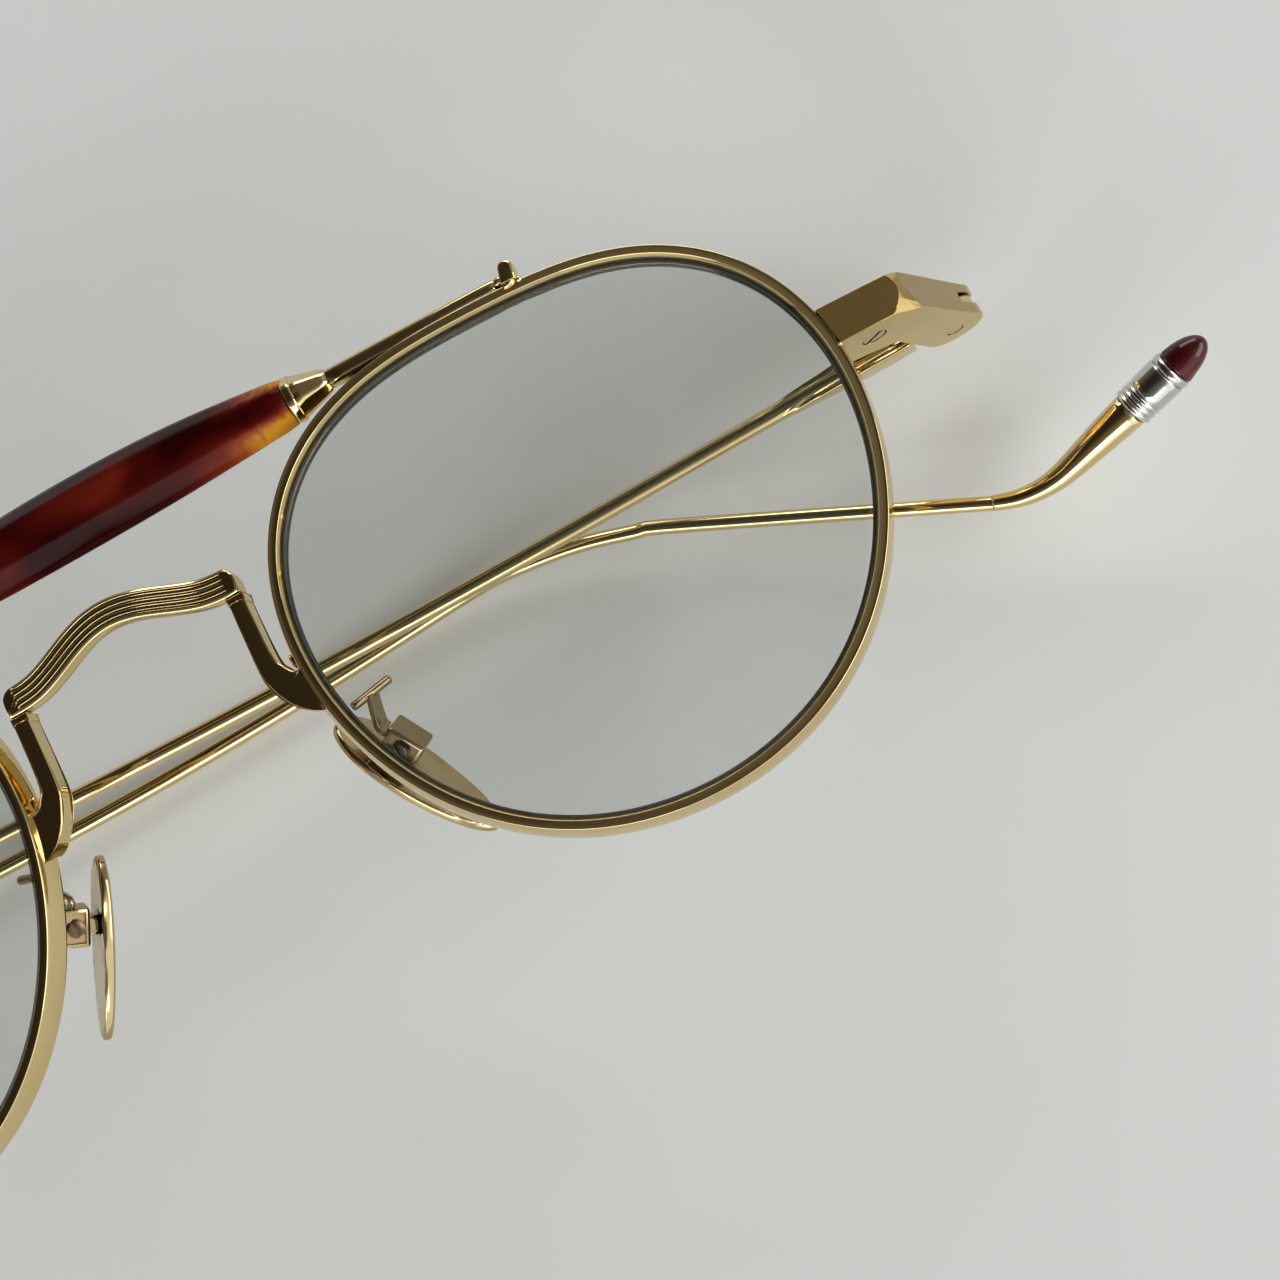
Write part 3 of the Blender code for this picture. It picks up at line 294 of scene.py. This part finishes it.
def dark_red(name):
    """Deep red acetate of the temple tips, almost black in its darkest swirls."""
    material, nodes, shader = new_material(name)
    swirl = nodes.noise(nodes.coords((0.5, 1.2, 1.2)), 0.5, distortion=0.8)
    colour = nodes.ramp(swirl, [
        (0.35, (0.03, 0.002, 0.003)), (0.55, (0.055, 0.004, 0.005)), (0.75, (0.085, 0.009, 0.009))])
    nodes.link(colour, shader.inputs["Base Color"])
    polish = nodes.noise(nodes.coords(), 0.8, detail=2)
    nodes.link(nodes.remap(polish, (0.3, 0.7), (0.06, 0.12)), shader.inputs["Roughness"])
    shader.inputs["IOR"].default_value = 1.42
    return material


def tinted_glass(name):
    """Light grey lens whose edge is painted near black and opaque as the shade in the rim's groove, and is
    rougher there;
    lamps shine through it on to what lies behind.
    """
    material, nodes, shader = new_material(name)
    haze = nodes.noise(nodes.coords(), 0.06)
    upward = nodes.add("ShaderNodeSeparateXYZ", {"Vector": nodes.normal()}).outputs["Z"]
    edge = nodes.remap(nodes.calculate("ABSOLUTE", upward), (0.6, 0.9), (0.85, 0))
    tint = nodes.ramp(haze, [(0.3, (0.045, 0.065, 0.045)), (0.7, (0.06, 0.082, 0.06))])
    # Painted shade: the edge's colour goes near black, standing for the shade in the rim's groove
    nodes.link(nodes.mix(edge, tint, (0.018, 0.021, 0.028)), shader.inputs["Base Color"])
    strength = nodes.remap(haze, (0.3, 0.7), (LENS_TINT - LENS_HAZE, LENS_TINT + LENS_HAZE))
    nodes.link(nodes.calculate("MAXIMUM", strength, edge), shader.inputs["Alpha"])
    smears = nodes.noise(nodes.coords(), 0.2, detail=4, roughness=0.6)
    polish = nodes.remap(smears, (0.3, 0.7), (0.03, 0.08))
    ground = nodes.remap(edge, (0, 1), (0, 0.5))
    nodes.link(nodes.calculate("MAXIMUM", polish, ground), shader.inputs["Roughness"])

    clear = nodes.add("ShaderNodeBsdfTransparent", {"Color": (0.95, 0.955, 0.95, 1)})
    lamp_ray = nodes.add("ShaderNodeLightPath").outputs["Is Shadow Ray"]
    both = nodes.add("ShaderNodeMixShader", {0: lamp_ray, 1: shader.outputs[0], 2: clear.outputs[0]})
    nodes.link(both.outputs[0], nodes.tree.nodes["Material Output"].inputs["Surface"])
    return material


def pale_paper(name):
    """Matt off-white paper with a faint grain."""
    material, nodes, shader = new_material(name)
    tone = nodes.noise(nodes.coords(), 0.02)
    shades = nodes.ramp(tone, [(0.3, (0.752, 0.775, 0.76)), (0.7, (0.78, 0.805, 0.79))])
    nodes.link(shades, shader.inputs["Base Color"])
    nodes.link(nodes.remap(tone, (0.3, 0.7), (0.75, 0.85)), shader.inputs["Roughness"])
    grain = nodes.noise(nodes.coords(), 3.0, detail=2, roughness=0.6)
    nodes.link(nodes.bump(grain, strength=0.05, distance=0.05), shader.inputs["Normal"])
    return material


gold = metal("pale_gold_plate", bright=(0.75, 0.59, 0.3), dull=(0.7, 0.54, 0.265),
             roughness=0.07, seed=1)
# End piece plating: its sloped outer faces get painted shade, a darker browner tone
block_gold = metal("block_gold_plate", bright=(0.68, 0.5, 0.19), dull=(0.6, 0.43, 0.155),
                   roughness=0.12, seed=2, shade_direction=END_PIECE_SLOPE)
ribbed_gold = metal("ribbed_gold_plate", bright=(0.7, 0.55, 0.28), dull=(0.64, 0.49, 0.24),
                    roughness=0.13, seed=3, reach=0.3)
satin_gold = metal("satin_gold_plate", bright=(0.52, 0.41, 0.23), dull=(0.43, 0.33, 0.17),
                   roughness=0.15, seed=4, reach=1.2)
# Pad boxes and pad arms: a darker copy of the gold plate, painted shade
painted_shade_gold = metal("shaded_gold_plate", bright=(0.36, 0.27, 0.145), dull=(0.27, 0.195, 0.1),
                    roughness=0.13, seed=5, reach=1.2)
screw_metal = metal("screw_gold_plate", bright=(0.54, 0.41, 0.2), dull=(0.45, 0.33, 0.16),
                    roughness=0.16, seed=7)
# Pad screws: near black plating, painted shade for the recess of the pad box that they sit in
screw_painted_shade = metal("dark_screw_plate", bright=(0.13, 0.085, 0.055), dull=(0.085, 0.055, 0.035),
                   roughness=0.18, seed=9)
silver = metal("silver_plate", bright=(0.66, 0.65, 0.63), dull=(0.56, 0.55, 0.53),
               roughness=0.1, seed=13)

# Finish of each piece by its name without its side; the others are pale gold
FINISH = {
    "lens": tinted_glass("light_grey_lens"), "brow_bar": tortoise("tortoise_acetate_gloss"),
    "temple_tip": dark_red("dark_red_acetate_gloss"), "temple_ferrule": silver,
    "bridge_saddle": ribbed_gold, "end_piece": block_gold, "pad": satin_gold,
    "pad_box": painted_shade_gold, "pad_arm": painted_shade_gold, "pad_screw": screw_painted_shade,
    "closing_screw": screw_metal, "hinge_screw": screw_metal,
}


def stem(name):
    """A node's name without its side."""
    return name.removesuffix("_left").removesuffix("_right")


# Refined pieces that stand for the solids

# How close two corners are to be one, in millimetres
WELD = 0.0001

# Skins: the turn between two triangles that still makes them one quad, in degrees, the subdivisions, and how
# often the skin is fitted to the solid's corners
FLAT_ANGLE = 4
SKIN_LEVELS = 2
SKIN_FITS = 3

# Bevels: the turn that still counts as flat, and the turn above which an edge is rounded over, in degrees
BEVEL_FLAT_ANGLE = 0.5
BEVEL_ANGLE = 30

# Skins of each kind of piece: the turn above which an edge stays sharp, in degrees, and how sharp it stays
ROUNDED = {
    "rim": {"sharp_angle": 40, "crease": 0.8}, "lens": {"sharp_angle": 40, "crease": 0.9},
    "brow_bar": {"sharp_angle": 25, "crease": 0.8}, "brow_ferrule": {"sharp_angle": 25, "crease": 0.8},
    "brow_wire": {"sharp_angle": 35, "crease": 0.7}, "bridge_arm": {"sharp_angle": 50, "crease": 0.65},
    "bridge_saddle": {"sharp_angle": 40, "crease": 0.5}, "temple": {"sharp_angle": 50, "crease": 0.8},
    "temple_ferrule": {"sharp_angle": 40, "crease": 0.6}, "temple_tip": {"sharp_angle": 50, "crease": 0.8},
    "pad": {"sharp_angle": 50, "crease": 0.7}, "pad_arm": {"sharp_angle": 50, "crease": 0.7},
}

# Bevels of the other pieces that differ from the usual one, in millimetres
SOFTENED = {"pad_box": {"width": 0.3, "segments": 4}}

body_of = {name: body for body, names in frame["record"]["behaviour"]["bodies"].items()
           for name in names}


def merged(node, flat_angle):
    """The node's faces as one joined bmesh, with pairs of level triangles made quads."""
    bm = bmesh.new()
    bm.from_mesh(node.data)
    bmesh.ops.remove_doubles(bm, verts=bm.verts, dist=WELD * MM)
    bmesh.ops.join_triangles(bm, faces=bm.faces, angle_face_threshold=math.radians(flat_angle),
                             angle_shape_threshold=math.pi)
    return bm


def smooth_object(name, bm, material):
    """A smooth shaded object from bm, in the scene."""
    for face in bm.faces:
        face.smooth = True
    mesh = bpy.data.meshes.new(name)
    bm.to_mesh(mesh)
    bm.free()
    mesh.materials.append(material)
    piece = bpy.data.objects.new(name, mesh)
    bpy.context.scene.collection.objects.link(piece)
    return piece


def stand_for(node, bm, suffix):
    """A new object from bm that rides where the node does and replaces it."""
    piece = smooth_object(f"{node.name}_{suffix}", bm, FINISH.get(stem(node.name), gold))
    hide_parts(node.name)
    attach(piece, body_of[node.name])
    return piece


def rounded(node, sharp_angle, crease):
    """A subdivided skin that passes through the solid's own corners and keeps its sharp edges."""
    bm = merged(node, FLAT_ANGLE)
    layer = bm.edges.layers.float.new("crease_edge")
    for edge in bm.edges:
        turn = edge.calc_face_angle(0)
        edge[layer] = crease if turn > math.radians(sharp_angle) else 0
    piece = stand_for(node, bm, "skin")
    subdivision = piece.modifiers.new("subdivision", "SUBSURF")
    subdivision.levels = subdivision.render_levels = SKIN_LEVELS
    mesh = piece.data
    aim = [vert.co.copy() for vert in mesh.vertices]
    for _ in range(SKIN_FITS):
        depsgraph = bpy.context.evaluated_depsgraph_get()
        shown = piece.evaluated_get(depsgraph).data
        for vert, place in zip(mesh.vertices, aim):
            vert.co += place - shown.vertices[vert.index].co
        mesh.update()


def softened(node, width=0.12, segments=3):
    """The solid with its hard edges rounded over, width in millimetres."""
    bm = merged(node, BEVEL_FLAT_ANGLE)
    bmesh.ops.dissolve_limit(bm, angle_limit=math.radians(BEVEL_FLAT_ANGLE), verts=bm.verts, edges=bm.edges)
    piece = stand_for(node, bm, "softened")
    bevel = piece.modifiers.new("bevel", "BEVEL")
    bevel.width = width * MM
    bevel.segments = segments
    bevel.limit_method = "ANGLE"
    bevel.angle_limit = math.radians(BEVEL_ANGLE)
    normals = piece.modifiers.new("normals", "WEIGHTED_NORMAL")
    normals.keep_sharp = True


for name, node in frame["nodes"].items():
    if stem(name) in ROUNDED:
        rounded(node, **ROUNDED[stem(name)])
    else:
        softened(node, **SOFTENED.get(stem(name), {}))


# Solder, bright little fillets where the pieces meet

def bead(name, label, corner, offset, radii, turn):
    """An egg of solder on the front, offset from a corner, turned about Z and mirrored on the right side."""
    side = SIDES[label]
    centre = Vector((corner[0] + side * offset[0], corner[1] + offset[1], corner[2] + offset[2]))
    bm = bmesh.new()
    bmesh.ops.create_uvsphere(bm, u_segments=BEAD_SEGMENTS, v_segments=BEAD_RINGS, radius=1)
    shape = Matrix.Rotation(math.radians(side * turn), 4, "Z") @ Matrix.Diagonal((*radii, 1))
    bmesh.ops.transform(bm, matrix=Matrix.Translation(centre) @ shape, verts=bm.verts)
    bmesh.ops.scale(bm, vec=(MM, MM, MM), verts=bm.verts)
    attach(smooth_object(f"solder_{name}_{label}", bm, gold), "front")


def box_in_mm(name):
    """The low and high corners of a node's box, in millimetres."""
    return (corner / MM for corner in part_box(name))


def inner_and_outer(low, high, label):
    """A box's end towards the nose and its end towards the temple."""
    return (low.x, high.x) if SIDES[label] > 0 else (high.x, low.x)


def solder_brow_post(label):
    """The post's foot on the rim, a bead on its outer side and a fillet to the wire's end."""
    low, high = box_in_mm(f"brow_post_{label}")
    inner, outer = inner_and_outer(low, high, label)
    wire_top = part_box(f"brow_wire_{label}")[1].y / MM
    bead("foot", label, ((low.x + high.x) / 2, low.y, high.z), **SOLDER["foot"])
    bead("drop", label, (outer, low.y, high.z), **SOLDER["drop"])
    bead("wire", label, (inner, wire_top, high.z), **SOLDER["wire"])


def solder_rim(label):
    """Fillets where the bridge arm's foot and the end piece's corners and seam meet the rim."""
    nose_x, temple_x = inner_and_outer(*box_in_mm(f"rim_{label}"), label)
    arm_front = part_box(f"bridge_arm_{label}")[1].z / MM
    bead("arm", label, (nose_x, ARM_SOLDER_Y, arm_front), **SOLDER["arm"])
    low, high = box_in_mm(f"end_piece_{label}")
    bead("end_low", label, (temple_x, low.y, high.z), **SOLDER["end_low"])
    bead("end_high", label, (temple_x, high.y, high.z), **SOLDER["end_high"])
    half = (high.y - low.y) / 2
    seam_radii = (SEAM_HALF_WIDTH, half, SEAM_HALF_DEPTH)
    bead("end_seam", label, (temple_x, low.y + half, high.z), SEAM_OFFSET, seam_radii, SEAM_TURN)


for label in SIDES:
    solder_brow_post(label)
    solder_rim(label)


# Floor, light and camera

def make_floor():
    half = FLOOR_HALF * MM
    mesh = bpy.data.meshes.new("floor")
    corners = [(-half, -half, 0), (half, -half, 0), (half, half, 0), (-half, half, 0)]
    mesh.from_pydata(corners, [], [(0, 1, 2, 3)])
    mesh.materials.append(pale_paper("pale_paper"))
    floor = bpy.data.objects.new("floor", mesh)
    floor.location.z = -FLOOR_GAP * MM
    bpy.context.scene.collection.objects.link(floor)


def make_world():
    """Pale walls low down, higher on the window side, and a dim warm ceiling that leans away from it."""
    world = bpy.data.worlds.new("studio")
    world.use_nodes = True
    bpy.context.scene.world = world
    nodes = Nodes(world.node_tree)
    direction = nodes.add("ShaderNodeTexCoord").outputs["Generated"]
    room = nodes.ramp(nodes.cosine(direction, CEILING_MIDDLE), ROOM_COLOURS)
    wall = nodes.remap(nodes.cosine(direction, DIM_WALL), DIM_WALL_COSINES,
                       (WALL_LIGHT, DIM_WALL_SHARE * WALL_LIGHT))
    cupboard = nodes.remap(nodes.cosine(direction, CUPBOARD), CUPBOARD_COSINES, (1, CUPBOARD_SHARE))
    background = world.node_tree.nodes["Background"]
    nodes.link(room, background.inputs["Color"])
    nodes.link(nodes.calculate("MULTIPLY", wall, cupboard), background.inputs["Strength"])


def make_lamp(name, place, size, power):
    """A soft rectangular lamp aimed at the object."""
    data = bpy.data.lights.new(name, "AREA")
    data.shape = "RECTANGLE"
    data.size, data.size_y = size[0] * MM, size[1] * MM
    data.energy = power
    lamp = bpy.data.objects.new(name, data)
    lamp.location = Vector(place) * MM
    aim = CAMERA_TARGET * MM - lamp.location
    lamp.rotation_mode = "QUATERNION"
    lamp.rotation_quaternion = aim.to_track_quat("-Z", "Y")
    bpy.context.scene.collection.objects.link(lamp)


def make_camera():
    azimuth, elevation, roll = (math.radians(angle) for angle in
                                (CAMERA_AZIMUTH, CAMERA_ELEVATION, CAMERA_ROLL))
    back = Vector((math.sin(azimuth) * math.cos(elevation),
                   -math.cos(azimuth) * math.cos(elevation), math.sin(elevation)))
    level = Vector((math.cos(azimuth), math.sin(azimuth), 0))
    upright = level.cross(-back)
    right = math.cos(roll) * level - math.sin(roll) * upright
    up = math.sin(roll) * level + math.cos(roll) * upright
    data = bpy.data.cameras.new("camera")
    data.lens = CAMERA_LENS
    data.sensor_width = CAMERA_SENSOR
    data.clip_start = CAMERA_CLIP * MM
    camera = bpy.data.objects.new("camera", data)
    turn = Matrix((right, up, back)).transposed().to_4x4()
    camera.matrix_world = Matrix.Translation((CAMERA_TARGET + back * CAMERA_DISTANCE) * MM) @ turn
    bpy.context.scene.collection.objects.link(camera)
    bpy.context.scene.camera = camera


make_floor()
make_world()
for name, lamp in LAMPS.items():
    make_lamp(name, **lamp)
make_camera()
bpy.context.scene.view_settings.view_transform = "Standard"
